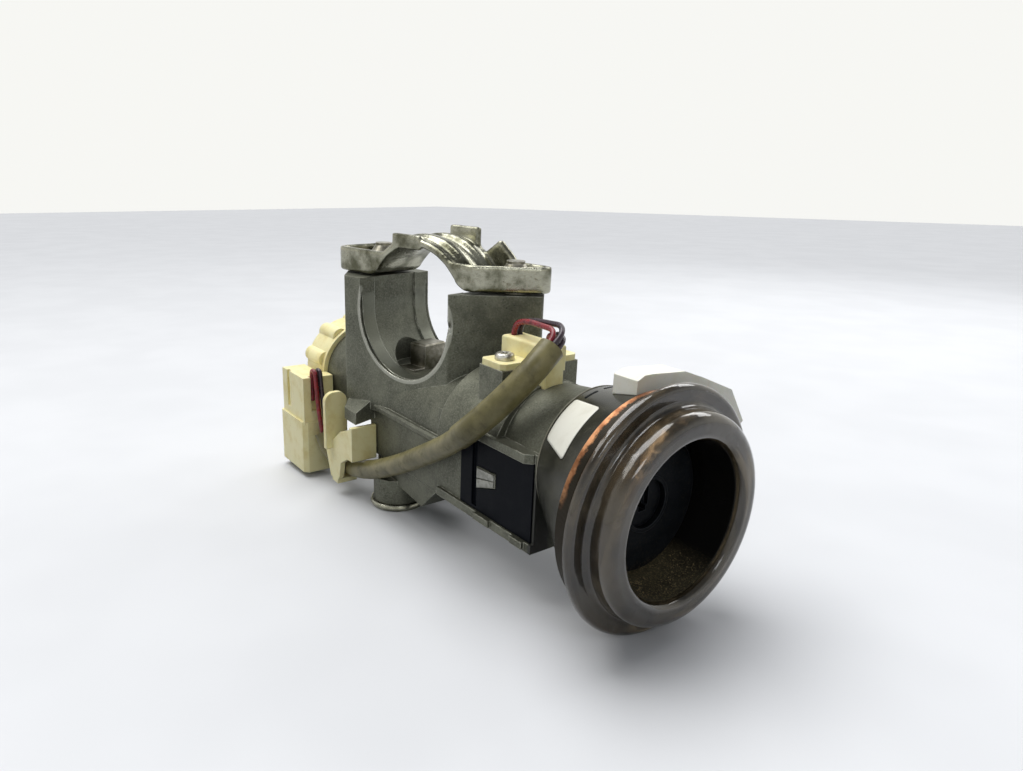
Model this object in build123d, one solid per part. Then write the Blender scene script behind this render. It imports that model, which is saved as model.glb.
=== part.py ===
from build123d import *
import math
import os

os.makedirs("parts", exist_ok=True)

# Steering column lock with its key cylinder, in millimetres, +Z up along the clamp posts.
# The origin is the middle of the column seat: +Y runs along the steering column and
# +X across it, towards the key. "s", "u" and "z" below are measured on the key line:
# s towards the key, u away from the side that carries the cable, z above the key axis.

# Column seat and clamp posts
column_radius = 20.5
body_depth = 31.7
post_top = 10.1
post_wall = 8.1
post_cut_run = 20.6
post_back_cut = 8.1
seat_band = 6.5
seat_relief = 0.6
seat_chamfer = 1.2
clamp_bolt_x = 30.6
clamp_bolt_y = 3.6
clamp_bolt_head = 5.0
clamp_bolt_radius = 3.9
clamp_bolt_grip = 14.0

# Pressed clamp bracket
sheet = 2.3
bracket_depth = 21.0
bracket_gap = 0.5
arch_clearance = 1.7
ear_reach = 41.0
ear_corner_x = ear_reach - 15.9
ear_rim_height = 8.3
rib_height = 1.5
rib_width = 4.0
lip_width = 13.0
lip_drop = 3.5
front_lip_height = 1.2
rear_lip_height = 4.0

# Key line
key_drop = 31.8
key_yaw = 12.4
shaft_radius = 3.5
plug_radius = 6.5
plug_length = 44.0
sleeve_radius = 10.5
face_radius = 18.6
face_station = 98.0
running = 0.05
slack = 0.15
air = 0.3

# Cast tube round the key line
tube_rear = -51.0
tube_radius = 16.8
tube_front = 76.0
tube_front_radius = 19.2
tube_front_u = 2.2
tube_front_z = 3.9
spigot_radius = 12.4
spigot_length = 8.0
collar_radius = 21.5

# Lock bolt and its cam
bolt_x = -7.4
bolt_width = 7.4
bolt_front_y = -1.5
bolt_length = 10.0
bolt_top = -12.1
bolt_travel = 7.0
key_turn_deg = 120.0
cam_base = 3.4
cam_width = 4.6
neck_radius = 2.6
leg_offset = 5.25
leg_thickness = 2.85
bar_thickness = 1.75
foot_thickness = 4.2
rotor_radius = 9.15
rotor_waist = 6.4
rotor_rear = 6.0
rotor_front = 50.0
recess_floor = -19.9

# Bottom plug and the spring that pushes the bolt up
plug_y = -10.6
cap_radius = 9.8
cap_bottom = -68.4
cap_rim = 2.4
cap_stem_radius = 6.6
cap_stem_length = 3.6
boss_wall = 2.0
bolt_spring_radius = 2.9
bolt_spring_wire = 0.9
bolt_spring_turns = 6

# Antenna drum, coil and light ring
drum_front = 96.5
drum_rear_radius = 20.2
drum_front_radius = 28.4
drum_wall = 2.0
drum_u = 2.4
drum_z = 4.4
coil_radius = 29.3
coil_inner = 27.0
coil_width = 3.6
recess_back = drum_front - 1.3
plate_thickness = 2.4
ring_bore = 20.5
ring_flange_radius = 32.4
ring_flange_width = 4.9
ring_flange_edge = 2.1
ring_nose_radius = 27.2
ring_nose_front = drum_front + 15.5
ring_lip = 2.4
recess_wall = 1.5
shroud_rear = drum_front - 9.9
shroud_width = 8.0

# Key-in warning switch on its two cast pedestals
switch_s = 50.5
switch_u = -0.4
switch_flange_s = 10.6
switch_flange_u = 27.8
switch_flange_z = 27.8
switch_flange = 1.8
switch_screw_pitch = 18.4
pedestal_u = 8.6
block_top = 32.8
block_rear = 42.0
block_front = 61.5
block_width = 7.6
screw_radius = 1.45
screw_head_radius = 2.8
screw_head = 1.9
feeler_top = 22.3
feeler_roof = 27.5

# Interlock box on the side of the tube
pin_s = 46.8
box_rear = pin_s - 4.8
box_front = tube_front - 1.0
box_low = -16.4
box_high = 6.4
box_face = 17.8
box_depth = 5.8
box_wall = 1.6
box_groove = pin_s + 1.0
frame_wall = 2.6
pin_radius = 1.5
pin_travel = 2.2

# Ignition switch and its connector
rotary_rear = -66.0
rotary_radius = 18.4
lobe_count = 10
lobe_radius = 3.2
lobe_rise = 1.6
switch_rotor_radius = 9.5
plug_block_near = -44.5
plug_block_far = -66.0
plug_block_in = 17.4
plug_block_out = 29.8
plug_block_low = -36.2
plug_block_mid = -16.0
plug_block_top = 1.2

# Cable sleeve, its clip and the wires
cable_radius = 3.3
cable_wall = 0.7
wire_radius = 0.8
rear_wire_u = -24.2
clip_wall = 1.8
clip_front = -10.4
clip_side = -27.0
clip_outline = [
    (0, -8.4), (-9.0, -12.1), (-21.1, -21.7), (-19.7, -25.5), (-17.5, -31.4), (-13.0, -32.4), (-10.4, -29.9),
    (-9.0, -23.9), (-3.9, -20.8), (0, -20.6),
]
hook_z = -31.1
cable_route = [
    (66.5, -6.5, 34.0), (67.0, -14.0, 27.9), (62.4, -20.0, 19.4), (55.6, -23.9, 11.6), (44.2, -23.2, 3.1),
    (30.7, -22.0, -4.5), (13.6, -21.9, -14.0), (-4.4, -21.8, -22.3), (-17.0, -21.5, -26.4),
    (-29.0, -21.4, -28.0), (-37.4, -22.4, -26.2), (-40.8, -23.8, -19.4),
]
outer_sleeve = 0.4

# Wafers in the key plug
wafer_count = 6
wafer_pitch = 2.5
wafer_thick = 1.2


key_line = Location((0, 0, -key_drop), (0, 0, -key_yaw))
along_key = Rotation(0, 90, 0)
yaw = math.radians(key_yaw)
to_side = Rotation(90, 0, 0)


def on_key_line(shape):
    """Carry a shape from the key line's own axes into the lock's axes."""
    return key_line * shape


def round_along(s0, s1, radius, u=0.0, z=0.0):
    """A cylinder lying along the key line from station s0 to s1."""
    length = s1 - s0
    return Pos((s0 + s1) / 2, u, z) * along_key * Cylinder(radius, length)


def block(s0, s1, u0, u1, z0, z1):
    """A box between two corners."""
    return Pos((s0 + s1) / 2, (u0 + u1) / 2, (z0 + z1) / 2) * Box(s1 - s0, u1 - u0, z1 - z0)


def upright(x, y, z0, z1, radius):
    """A vertical cylinder from z0 to z1."""
    return Pos(x, y, (z0 + z1) / 2) * Cylinder(radius, z1 - z0)


def across(s, z, u0, u1, radius):
    """A cylinder lying across the key line, between two offsets."""
    return Pos(s, (u0 + u1) / 2, z) * to_side * Cylinder(radius, u1 - u0)


def turned(points):
    """Revolve a profile of (station, radius) points about the key line."""
    outline = Polyline(*[(s, 0, r) for s, r in points], close=True)
    return revolve(make_face(outline), Axis.X)


def from_list(shapes):
    """Fuse a list of shapes."""
    total = shapes[0]
    for shape in shapes[1:]:
        total += shape
    return total


def key_axis_y(x):
    """Where the key axis passes, in plan."""
    return -x * math.tan(yaw)


def save(shape, name):
    solids = shape.solids()
    export_step(solids[0] if len(solids) == 1 else Compound(children=list(solids)), f"parts/{name}.step")


bolt_y0 = bolt_front_y
bolt_y1 = bolt_front_y + bolt_length
bolt_x0 = bolt_x - bolt_width / 2
bolt_x1 = bolt_x + bolt_width / 2
bolt_station = bolt_x / math.cos(yaw)
foot_top = -key_drop - cam_base - running
foot_bottom = foot_top - foot_thickness
foot_front = plug_y - bolt_spring_radius - bolt_spring_wire / 2
cam_rate = bolt_travel / math.radians(key_turn_deg)
cam_reach = math.hypot(cam_base + bolt_travel, cam_rate)
chamber = cam_reach + 0.5
window_top = neck_radius + air + bolt_travel
bar_top = window_top + bar_thickness
spring_seat = cap_bottom + cap_rim + cap_stem_length
plug_rear = face_station - plug_length
pin_high = (box_low + box_high) / 2 + 2.0
half_depth = body_depth / 2


def saddle_block():
    """The two posts and the half-round seat between them, cut from one block."""
    left = column_radius + post_wall
    left_out = left + 10.0
    right_out = column_radius + post_cut_run
    plan = Polyline(
        (-left, -half_depth),
        (column_radius, -half_depth),
        (right_out, -half_depth + post_cut_run),
        (right_out - post_back_cut, half_depth),
        (-left_out, half_depth),
        (-left_out, -half_depth + left_out - left),
        close=True,
    )
    base = -key_drop - 3.0
    solid = Pos(0, 0, base) * extrude(make_face(plan), post_top - base)
    uprights = solid.edges().filter_by(Axis.Z)
    return fillet(uprights.sort_by(Axis.Y)[:2] + [uprights.sort_by(Axis.X)[-1]], 1.0)


def column_space():
    """What the saddle loses: the seat, its relieved middle and the chamfered front edge."""
    def slot(radius, y0, y1):
        depth = y1 - y0
        round_part = Pos(0, (y0 + y1) / 2, 0) * to_side * Cylinder(radius, depth)
        return round_part + block(-radius, radius, y0, y1, 0, post_top + 1)

    space = slot(column_radius, -half_depth - 1, half_depth + 1)
    relief_end = half_depth - seat_band
    space += slot(column_radius + seat_relief, -relief_end, relief_end)
    for side in (-1, 1):
        mouth = Pos(0, side * half_depth, 0) * Rotation(-90 * side, 0, 0) * Cone(
            column_radius + seat_chamfer, column_radius, seat_chamfer,
            align=(Align.CENTER, Align.CENTER, Align.MAX),
        )
        space += mouth
    return space


def involute_point(turn):
    """Cam outline point that bears straight down once the key has turned that far."""
    lift = cam_base + cam_rate * turn
    down = -math.pi / 2 + turn
    nu, nz = math.cos(down), math.sin(down)
    return (nu * lift - nz * cam_rate, nz * lift + nu * cam_rate)


def cam_outline():
    """Closed cam profile: the lifting flank, a blunt nose and a back running to the neck."""
    full = math.radians(key_turn_deg)
    steps = 10
    flank = [involute_point(full * i / steps) for i in range(steps + 1)]
    start, tip = flank[0], flank[-1]
    nose = (tip[0] - 1.5, tip[1] + 0.4)
    back = (-neck_radius * 0.5, neck_radius * 0.8)
    under = (-neck_radius * 0.4, -neck_radius * 0.8)
    with BuildSketch(Plane.YZ) as sketch:
        with BuildLine():
            Spline(*flank)
            Polyline(tip, nose, back, under, start)
        make_face()
    return sketch.sketch


def cam_rotor_piece():
    """Rotor that carries the key's turn to the ignition switch, with the bolt cam on its neck."""
    cam_s0 = bolt_station - cam_width / 2
    body = turned([
        (rotary_rear + 6.0, 0), (rotary_rear + 6.0, shaft_radius), (-13.4, shaft_radius),
        (-13.4, neck_radius), (rotor_rear - 5, neck_radius), (rotor_rear, rotor_waist),
        (rotor_rear, rotor_radius), (rotor_rear + 9, rotor_radius), (rotor_rear + 11, rotor_waist),
        (pin_s - 7, rotor_waist), (pin_s - 5, rotor_radius), (pin_s - 2.2, rotor_radius),
        (pin_s - 2.2, rotor_waist), (pin_s + 2.2, rotor_waist), (pin_s + 2.2, rotor_radius),
        (rotor_front, rotor_radius), (rotor_front, 0),
    ])
    cam = extrude(Pos(cam_s0, 0, 0) * cam_outline(), cam_width)
    driver = block(rotor_front - 3.0, plug_rear + 3.2, -1.4, 1.4, -4.2, 4.2)
    return body + cam + driver


def leg_front_y(x):
    """Front of the bolt's leg, in plan."""
    return key_axis_y(x) - leg_offset - leg_thickness - 0.1


def lock_bolt_piece():
    """Hook-shaped bolt: tip in the seat, leg in front of the rotor, foot under the cam."""
    front = leg_front_y(bolt_x)
    tip = block(bolt_x0, bolt_x1, bolt_y0, bolt_y1, -key_drop + window_top, bolt_top)
    tip = chamfer(tip.faces().sort_by(Axis.Z)[-1].edges(), 0.5)
    leg = block(bolt_x0, bolt_x1, front, bolt_y1, foot_bottom, -key_drop + bar_top)
    foot = block(bolt_x0, bolt_x1, foot_front, bolt_y1, foot_bottom, foot_top)
    foot = chamfer(foot.edges().filter_by(Axis.Z).sort_by(Axis.Y)[0:2], 1.8)
    window = on_key_line(block(bolt_station - 2 * bolt_width, bolt_station + 2 * bolt_width,
                               -leg_offset, 3 * bolt_length, -cam_base, window_top))
    return tip + leg + foot - window


def lock_cavity():
    """Room inside the casting for the bolt, the cam and the bolt spring."""
    low = foot_bottom - bolt_travel - air
    front = leg_front_y(bolt_x) - slack
    slot = block(bolt_x0 - slack, bolt_x1 + slack, front, bolt_y1 + slack, low, 0)
    foot = block(bolt_x0 - slack, bolt_x1 + slack, foot_front - slack, bolt_y1 + slack, low, foot_top + slack)
    foot = chamfer(foot.edges().filter_by(Axis.Z).sort_by(Axis.Y)[0:2], 1.8)
    spring = upright(bolt_x, plug_y, cap_bottom, foot_bottom, bolt_spring_radius + bolt_spring_wire / 2 + air)
    cam = round_along(bolt_station - cam_width / 2 - air, bolt_station + cam_width / 2 + air, chamber)
    bore = round_along(-13.0, plug_rear, rotor_radius + running)
    tip = involute_point(math.radians(key_turn_deg))
    groove = block(bolt_station, plug_rear, tip[0] - 2.4, tip[0] + 0.4, 0, tip[1] + 0.7)
    return slot + foot + spring + on_key_line(cam + bore + groove)


def lock_body_piece():
    """The die casting: saddle, tube, bolt housing, switch pedestals and interlock frame."""
    body = saddle_block()

    cone = loft([
        Pos(12, 0, 0) * along_key * Circle(tube_radius),
        Pos(tube_front, tube_front_u, tube_front_z) * along_key * Circle(tube_front_radius),
    ])
    rear = round_along(tube_rear, 12, tube_radius)
    spigot = round_along(tube_front - 6, tube_front + spigot_length, spigot_radius)
    collar = round_along(33, 60, collar_radius, u=1.0, z=0.5)
    collar = collar & block(30, 63, -30, 30, 2, 40)
    tube = rear + cone + spigot + collar
    housing = block(-15, 29, -17.2, 12, -25, -2.4)
    housing = chamfer(housing.edges().filter_by(Axis.X).sort_by(Axis.Z)[:2], 6.0)
    ridge = block(-10, 34, -18.6, -10, -2.9, -0.6)
    ridge = chamfer(ridge.edges().filter_by(Axis.X).sort_by(Axis.Y)[:2], 0.5)
    frame = block(29, box_front + frame_wall - 1.8, -box_face + 0.4, 2,
                  box_low - frame_wall, box_high + frame_wall)
    roof = block(box_rear + 9, box_front, -box_face - 2.0, -8, box_high, box_high + frame_wall)
    roof = chamfer(roof.edges().filter_by(Axis.Z).sort_by(Axis.Y)[:2], 1.8)
    ledge = block(30, box_front + 0.8, -box_face - 0.6, -6, box_low - frame_wall, box_low)
    tabs = block(51, 58, -box_face - 1.6, -12, box_low - 2.0, box_low + 0.2)
    tabs += block(68, 73, -box_face - 1.6, -12, box_low - 2.0, box_low + 0.2)
    lug = lug_piece()
    pedestals = from_list([
        block(switch_s - switch_flange_s / 2, switch_s + switch_flange_s / 2, u0, u0 + pedestal_u,
              8, switch_flange_z - switch_flange)
        for u0 in (switch_u - switch_flange_u / 2, switch_u + switch_flange_u / 2 - pedestal_u)
    ])
    body += on_key_line(tube + housing + ridge + frame + roof + ledge + tabs + lug + pedestals)

    boss = upright(bolt_x, plug_y, cap_bottom + cap_rim, -key_drop - 25.4, cap_stem_radius + boss_wall)
    foot_pad = block(bolt_x - 9, bolt_x + 9, -12, 14, cap_bottom + cap_rim, -key_drop - 8)
    foot_pad = chamfer(foot_pad.edges().filter_by(Axis.X).sort_by(Axis.Z)[:2], 2.5)
    gusset_edge = Polyline((-9, -24), (1.6, -26.5), (18, -28.5), (29.5, -17.5), (29.5, -9), (-9, -9), close=True)
    with BuildSketch(Plane.XZ) as sketch:
        add(make_face(gusset_edge))
    gusset = Pos(0, -16.4, 0) * extrude(sketch.sketch, -24)
    body += boss + foot_pad + on_key_line(gusset)

    body -= column_space()
    body -= lock_cavity()
    body -= upright(bolt_x, plug_y, cap_bottom, spring_seat, cap_stem_radius + running)
    recess = upright(bolt_x, 1.5, recess_floor, -5, 10.0)
    body -= recess & block(-40, 40, -half_depth + seat_band, half_depth - seat_band, -30, 0)
    body -= on_key_line(round_along(tube_rear - 1, 0, shaft_radius + running))
    body -= on_key_line(round_along(plug_rear - 1, tube_front + spigot_length + 1, sleeve_radius + running))
    body -= on_key_line(round_along(tube_rear - 1, tube_rear + 6, 12.0))
    body -= on_key_line(round_along(tube_rear + 4, -20, rotor_radius))

    pocket = block(box_rear, box_front, -box_face - 5, -box_face + box_depth, box_low, box_high)
    body -= on_key_line(pocket)
    body += on_key_line(window_block(0))
    body -= on_key_line(across(pin_s, pin_high, -box_face, -rotor_waist, pin_radius + running))
    half_stem = block_width / 2 - 0.6 + slack
    stem = block(block_front - 5.4 - slack, block_front + slack, switch_u - half_stem, switch_u + half_stem,
                 sleeve_radius - 1, 30)
    body -= on_key_line(stem)
    for u in screw_places():
        body -= on_key_line(upright(switch_s, u, switch_flange_z - 9, switch_flange_z, screw_radius + running))
    for side in (-1, 1):
        body -= upright(side * clamp_bolt_x, clamp_bolt_y, post_top - clamp_bolt_grip, post_top + 1,
                        clamp_bolt_radius + slack)
    body -= on_key_line(tube_along(cable_route, cable_radius + air))
    return body


def screw_places():
    """Where the two switch screws stand across the tube."""
    return [switch_u - switch_screw_pitch / 2, switch_u + switch_screw_pitch / 2]


def lug_piece():
    """Sloping cast arm that carries the cable clip."""
    profile = Polyline((-10, 4.6), (-13.7, 3.2), (-24.6, -3.6), (-24.6, -7.8), (-17.0, -6.4), (-10, -10), close=True)
    with BuildSketch(Plane.YZ) as sketch:
        add(make_face(profile))
    plan = Polyline((-12, -9), (-12, -25), (-20, -25), (-31, -14), (-31, -9), close=True)
    return extrude(Pos(-31, 0, 0) * sketch.sketch, 19) & Pos(0, 0, -20) * extrude(make_face(plan), 40)


def under_arch(offset):
    """Right half of the bracket's underside line, moved outwards by an offset."""
    radius = column_radius + arch_clearance + offset
    floor = post_top + bracket_gap + offset
    blend = 7.0 - offset
    drop = floor + blend
    turn_x = math.sqrt((radius + blend) ** 2 - drop ** 2)
    lean = math.atan2(drop, turn_x)
    half_lean = (math.pi / 2 + lean) / 2
    fall = (lean + math.pi + 1.5 * math.pi) / 2
    touch = (radius * math.cos(lean), radius * math.sin(lean))
    return [
        ThreePointArc((0, radius), (radius * math.cos(half_lean), radius * math.sin(half_lean)), touch),
        ThreePointArc(touch, (turn_x + blend * math.cos(fall), drop + blend * math.sin(fall)), (turn_x, floor)),
        Line((turn_x, floor), (ear_reach + 5, floor)),
    ], floor


def arch_region(offset, top):
    """Everything between the offset underside line and a level, as an X-Z face."""
    right, floor = under_arch(offset)
    left = [edge.mirror(Plane.YZ) for edge in right]
    end = ear_reach + 5
    cap = [Line((end, floor), (end, top)), Line((end, top), (-end, top)), Line((-end, top), (-end, floor))]
    return make_face([*right, *left, *cap])


def bracket_plan(inset):
    """Outline of the bracket seen from above; the key side is cut off at 45 degrees."""
    half = bracket_depth / 2 - inset
    diagonal = inset * (math.sqrt(2) - 1)
    right = ear_reach - inset
    left = -ear_reach + 0.5 + inset
    corner_x = ear_corner_x - diagonal
    corner_y = -half + right - corner_x
    corners = [(left, -half, 5.0), (corner_x, -half, 4.0), (right, corner_y, 4.0), (right, half, 3.2),
               (left, half, 5.0)]
    face = make_face(Polyline(*[(x, y) for x, y, r in corners], close=True))
    for x, y, r in corners:
        if r > inset + 0.5:
            face = fillet(face.vertices().sort_by_distance((x, y, 0))[0], r - inset)
    return face


def standing(face_xz, depth):
    """Extrude an X-Z face along the column, centred on it."""
    return extrude(Plane.XZ * face_xz, depth / 2, both=True)


def clamp_bracket_piece():
    """Pressed arch with dished ears, standing rims, two ribs and a lip on each edge."""
    wide = bracket_depth + 10
    rim_top = post_top + bracket_gap + ear_rim_height
    crown = column_radius + arch_clearance + sheet
    shell = standing(arch_region(0, crown + 20), wide)
    above_sheet = standing(arch_region(sheet, crown + 21), wide)
    plan = Pos(0, 0, post_top) * extrude(bracket_plan(0), 40)
    inner_plan = Pos(0, 0, post_top) * extrude(bracket_plan(sheet), 45)
    skin = (shell - above_sheet) & plan
    rim = (shell & plan) - inner_plan
    rim &= block(-60, 60, -30, 30, 0, rim_top)
    bracket = skin + rim
    for y0 in (-bracket_depth / 2 + sheet + 2.0, bracket_depth / 2 - sheet - 2.0 - rib_width):
        raised = standing(arch_region(sheet - 0.4, crown + 20), wide) - standing(
            arch_region(sheet + rib_height, crown + 21), wide)
        bracket += raised & block(-column_radius - 3, column_radius + 3, y0, y0 + rib_width, 12, 40)
    front = block(-10.6, -10.6 + lip_width, -bracket_depth / 2, -bracket_depth / 2 + sheet,
                  crown - lip_drop, crown + front_lip_height)
    back = block(-2.7, -2.7 + lip_width, bracket_depth / 2 - sheet, bracket_depth / 2,
                 crown - lip_drop, crown + rear_lip_height)
    gusset = make_face(Polyline((11.0, 19.0), (19.6, 25.3), (26.0, 19.8), (26.0, 12.5), (16.0, 15.0), close=True))
    gusset = Pos(0, bracket_depth / 2 - sheet / 2, 0) * standing(gusset, sheet)
    bracket += front + back + gusset
    for side in (-1, 1):
        bracket -= upright(side * clamp_bolt_x, clamp_bolt_y, 0, 40, clamp_bolt_radius + air)
        bracket -= upright(side * clamp_bolt_x, clamp_bolt_y, post_top + bracket_gap + sheet, 40,
                           clamp_bolt_head + slack)
    return bracket


def shear_bolts_piece():
    """The two bolts whose heads were twisted off, leaving a stub on a flange."""
    seat = post_top + bracket_gap + sheet
    bolts = []
    for side in (-1, 1):
        shank = upright(0, 0, post_top - clamp_bolt_grip + 1.0, seat + 1, clamp_bolt_radius)
        flange = Pos(0, 0, seat + 2.1) * Cylinder(clamp_bolt_head, 4.2)
        dome = Pos(0, 0, seat + 5.2) * Cone(clamp_bolt_head - 0.5, 3.0, 2.0)
        stub = upright(0, 0, seat + 6.0, seat + 7.2, 2.9)
        flange = chamfer(flange.edges().sort_by(Axis.Z)[-1], 0.6)
        bolts.append(Pos(side * clamp_bolt_x, clamp_bolt_y, 0) * (shank + flange + dome + stub))
    return Compound(children=[bolt.solids()[0] for bolt in bolts])


def bottom_plug_piece():
    """Dished cap with a curled rim, its stem pressed into the boss under the bolt spring."""
    z0 = cap_bottom
    stem_low, stem_high = z0 + cap_rim - 1.2, spring_seat
    inner = cap_stem_radius - 1.4
    profile = Polyline(
        (0, z0 + 0.6), (cap_radius - 2.6, z0 + 0.6), (cap_radius - 1.4, z0), (cap_radius - 0.4, z0 + 0.3),
        (cap_radius, z0 + 1.2), (cap_radius - 0.3, z0 + cap_rim - 0.1), (cap_radius - 1.2, z0 + cap_rim - 0.1),
        (cap_radius - 1.6, stem_low), (cap_stem_radius, stem_low), (cap_stem_radius, stem_high),
        (0, stem_high), close=True,
    )
    hollow = Pos(0, 0, z0 + 0.2) * Cone(inner - 1.2, inner, 1.0)
    return Pos(bolt_x, plug_y, 0) * (revolve(make_face(Plane.XZ * profile), Axis.Z) - hollow)


def coil_spring(radius, wire, low, high, turns):
    """A compression spring standing between two levels, its ends ground flat."""
    path = Helix((high - low) / turns, high - low, radius)
    profile = Plane(origin=path @ 0, z_dir=path % 0) * Circle(wire / 2)
    coil = Pos(0, 0, low) * sweep(profile, path)
    return coil & upright(0, 0, low + 0.02, high - 0.02, radius + wire)


def lock_bolt_spring_piece():
    spring = coil_spring(bolt_spring_radius, bolt_spring_wire, spring_seat, foot_bottom, bolt_spring_turns)
    return Pos(bolt_x, plug_y, 0) * spring


def cylinder_sleeve_piece():
    """Fixed housing of the key plug, with its broad face in the recess."""
    sleeve = round_along(plug_rear, recess_back, sleeve_radius)
    face = round_along(recess_back, face_station, face_radius)
    face = fillet(face.edges().filter_by(GeomType.CIRCLE).sort_by(Axis.X)[-1], 1.0)
    rim = round_along(face_station - 1, face_station + 0.5, plug_radius + 1.1)
    sleeve = sleeve + face + rim - round_along(plug_rear - 1, face_station + 1, plug_radius + running)
    sleeve -= block(wafer_stations()[0] - 1.2, wafer_stations()[-1] + 1.2, -2.0, 2.0,
                    -sleeve_radius + 1.2, sleeve_radius - 1.2)
    return sleeve - feeler_block(air, 2.0, sleeve_radius + 1)


def key_plug_piece():
    """Plug that the key turns: keyway, wafer slots and a rear slot for the rotor's driver."""
    plug = round_along(plug_rear + 0.4, face_station - 1.2, plug_radius)
    plug -= block(plug_rear + 8, face_station, -1.3, 1.3, -2.6, 4.2)
    plug -= block(face_station - 2.6, face_station, -1.9, 1.9, -1.2, 4.8)
    plug -= block(plug_rear, plug_rear + 3.6, -1.5, 1.5, -4.3, 4.3)
    for s in wafer_stations():
        plug -= block(s - wafer_thick / 2 - 0.06, s + wafer_thick / 2 + 0.06, -2.6, 2.6, -7, 7)
    return plug


def wafer_stations():
    """Where the wafers stand along the plug."""
    return [plug_rear + 18.0 + wafer_pitch * i for i in range(wafer_count)]


def tumblers_piece():
    """Wafers drawn flush in their slots, as a key holds them, each with its key window."""
    wafers = []
    for s in wafer_stations():
        wafer = block(s - wafer_thick / 2, s + wafer_thick / 2, -2.54, 2.54, -5.6, 5.6)
        wafers.append((wafer - block(s - 2, s + 2, -1.3, 1.3, -2.6, 4.2)).solids()[0])
    return Compound(children=wafers)


def switch_rotor_piece():
    """Contact carrier in the ignition switch, driven by the rotor's rear end."""
    s0 = rotary_rear + 3.0
    rotor = round_along(s0, s0 + 9.0, switch_rotor_radius)
    rotor -= round_along(s0 + 2.8, s0 + 10, shaft_radius + running)
    arms = from_list([
        Rotation(angle, 0, 0) * block(s0, s0 + 2.6, -1.6, 1.6, switch_rotor_radius - 1, switch_rotor_radius + 2.6)
        for angle in (60, 180, 300)
    ])
    return rotor + arms


def switch_contacts_piece():
    """Three contact bridges riding on the carrier's arms."""
    s0 = rotary_rear + 3.0 + 2.6
    return Compound(children=[
        (Rotation(angle, 0, 0) * block(s0, s0 + 0.6, -1.4, 1.4, switch_rotor_radius + running,
                                       switch_rotor_radius + 2.4)).solids()[0]
        for angle in (60, 180, 300)
    ])


def rotary_switch_piece():
    """Round ignition switch behind the tube, its rim lobed, with an arm to the connector."""
    drum = round_along(rotary_rear, tube_rear, rotary_radius)
    lobes = from_list([
        Rotation(360 / lobe_count * i, 0, 0)
        * round_along(rotary_rear, tube_rear - 2.0, lobe_radius, 0, rotary_radius - lobe_radius + lobe_rise)
        for i in range(lobe_count)
    ])
    body = drum + lobes
    body += round_along(tube_rear - 1, tube_rear + 5.0, 12.0 - slack)
    body += block(rotary_rear + 1, tube_rear - 1.0, -plug_block_in, -6, -16, -2)
    body -= round_along(rotary_rear + 2.9, tube_rear + 6, switch_rotor_radius + running)
    body -= round_along(rotary_rear + 2.9, rotary_rear + 6.6, switch_rotor_radius + 3.0)
    for angle in (20, 140, 260):
        body -= Rotation(angle, 0, 0) * round_along(rotary_rear - 1, rotary_rear + 1.2, 1.9, 0, rotary_radius - 4.5)
    return body


def connector_block_piece():
    """Upright connector shroud beside the switch, wider below, open underneath."""
    near = plug_block_near - 0.6
    upper = block(plug_block_far + 1.0, near, -plug_block_out + 0.6, -plug_block_in,
                  plug_block_mid - 1, plug_block_top)
    lower = block(plug_block_far - 1.2, plug_block_near, -plug_block_out, -plug_block_in,
                  plug_block_low, plug_block_mid)
    lower = chamfer(lower.edges().filter_by(Axis.Z).sort_by(Axis.Y)[:2], 1.6)
    body = upper + lower
    body -= block(plug_block_far + 0.8, plug_block_near - 2.0, -plug_block_out + 2.0, -plug_block_in - 2.0,
                  plug_block_low - 1, plug_block_low + 14.0)
    body -= round_along(rotary_rear - 2, tube_rear + 0.1, rotary_radius + lobe_rise + slack)
    body -= block(near - 2.4, near + 1, rear_wire_u - 2.1, rear_wire_u + 2.1, plug_block_mid + 4, plug_block_top + 1)
    body -= block(plug_block_far + 5.5, plug_block_far + 7.7, -plug_block_out - 1, -plug_block_out + 1.6,
                  plug_block_mid + 3, plug_block_top + 1)
    return body


def connector_terminals_piece():
    """Blade terminals standing in the connector shroud."""
    blades = []
    for i in range(4):
        for u in (-plug_block_out + 4.2, -plug_block_in - 4.2):
            s = plug_block_far + 3.6 + 4.4 * i
            blades.append(block(s, s + 1.8, u - 0.4, u + 0.4, plug_block_low + 3, plug_block_low + 14.0))
    return Compound(children=[blade.solids()[0] for blade in blades])


def drum_cone(grow=0):
    """Outer shape of the antenna drum: an oblique cone from the tube's end to the light ring."""
    return loft([
        Pos(tube_front, drum_u, drum_z) * along_key * Circle(drum_rear_radius + grow),
        Pos(drum_front, 0, 0) * along_key * Circle(drum_front_radius + grow),
    ])


def antenna_housing_piece():
    """Tapered drum over the end of the tube, with the coil's seat and the recess wall at its front."""
    well = round_along(drum_front - 1.0, drum_front + coil_width, coil_inner - air)
    well += round_along(drum_front, ring_nose_front - ring_lip - slack, ring_bore + recess_wall)
    spigot_end = tube_front + spigot_length
    plate = recess_back - plate_thickness
    drum = drum_cone() + well
    drum -= round_along(tube_front - 1, spigot_end + slack, spigot_radius + slack)
    drum -= round_along(spigot_end, plate, spigot_radius + 3.6)
    drum -= round_along(plate - 1, recess_back + 1, sleeve_radius + slack)
    drum -= round_along(recess_back, ring_nose_front, ring_bore)
    return drum


def antenna_coil_piece():
    """Wound copper ring; its layers show as grooves round the rim."""
    s0 = drum_front + 0.1
    s1 = drum_front + coil_width - 0.1
    rows = 5
    step = (s1 - s0) / rows
    points = [(s0, coil_inner)]
    for i in range(rows):
        points += [(s0 + step * (i + 0.08), coil_radius - 0.35), (s0 + step * (i + 0.3), coil_radius),
                   (s0 + step * (i + 0.7), coil_radius), (s0 + step * (i + 0.92), coil_radius - 0.35)]
    points += [(s1, coil_inner)]
    return turned(points)


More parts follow.
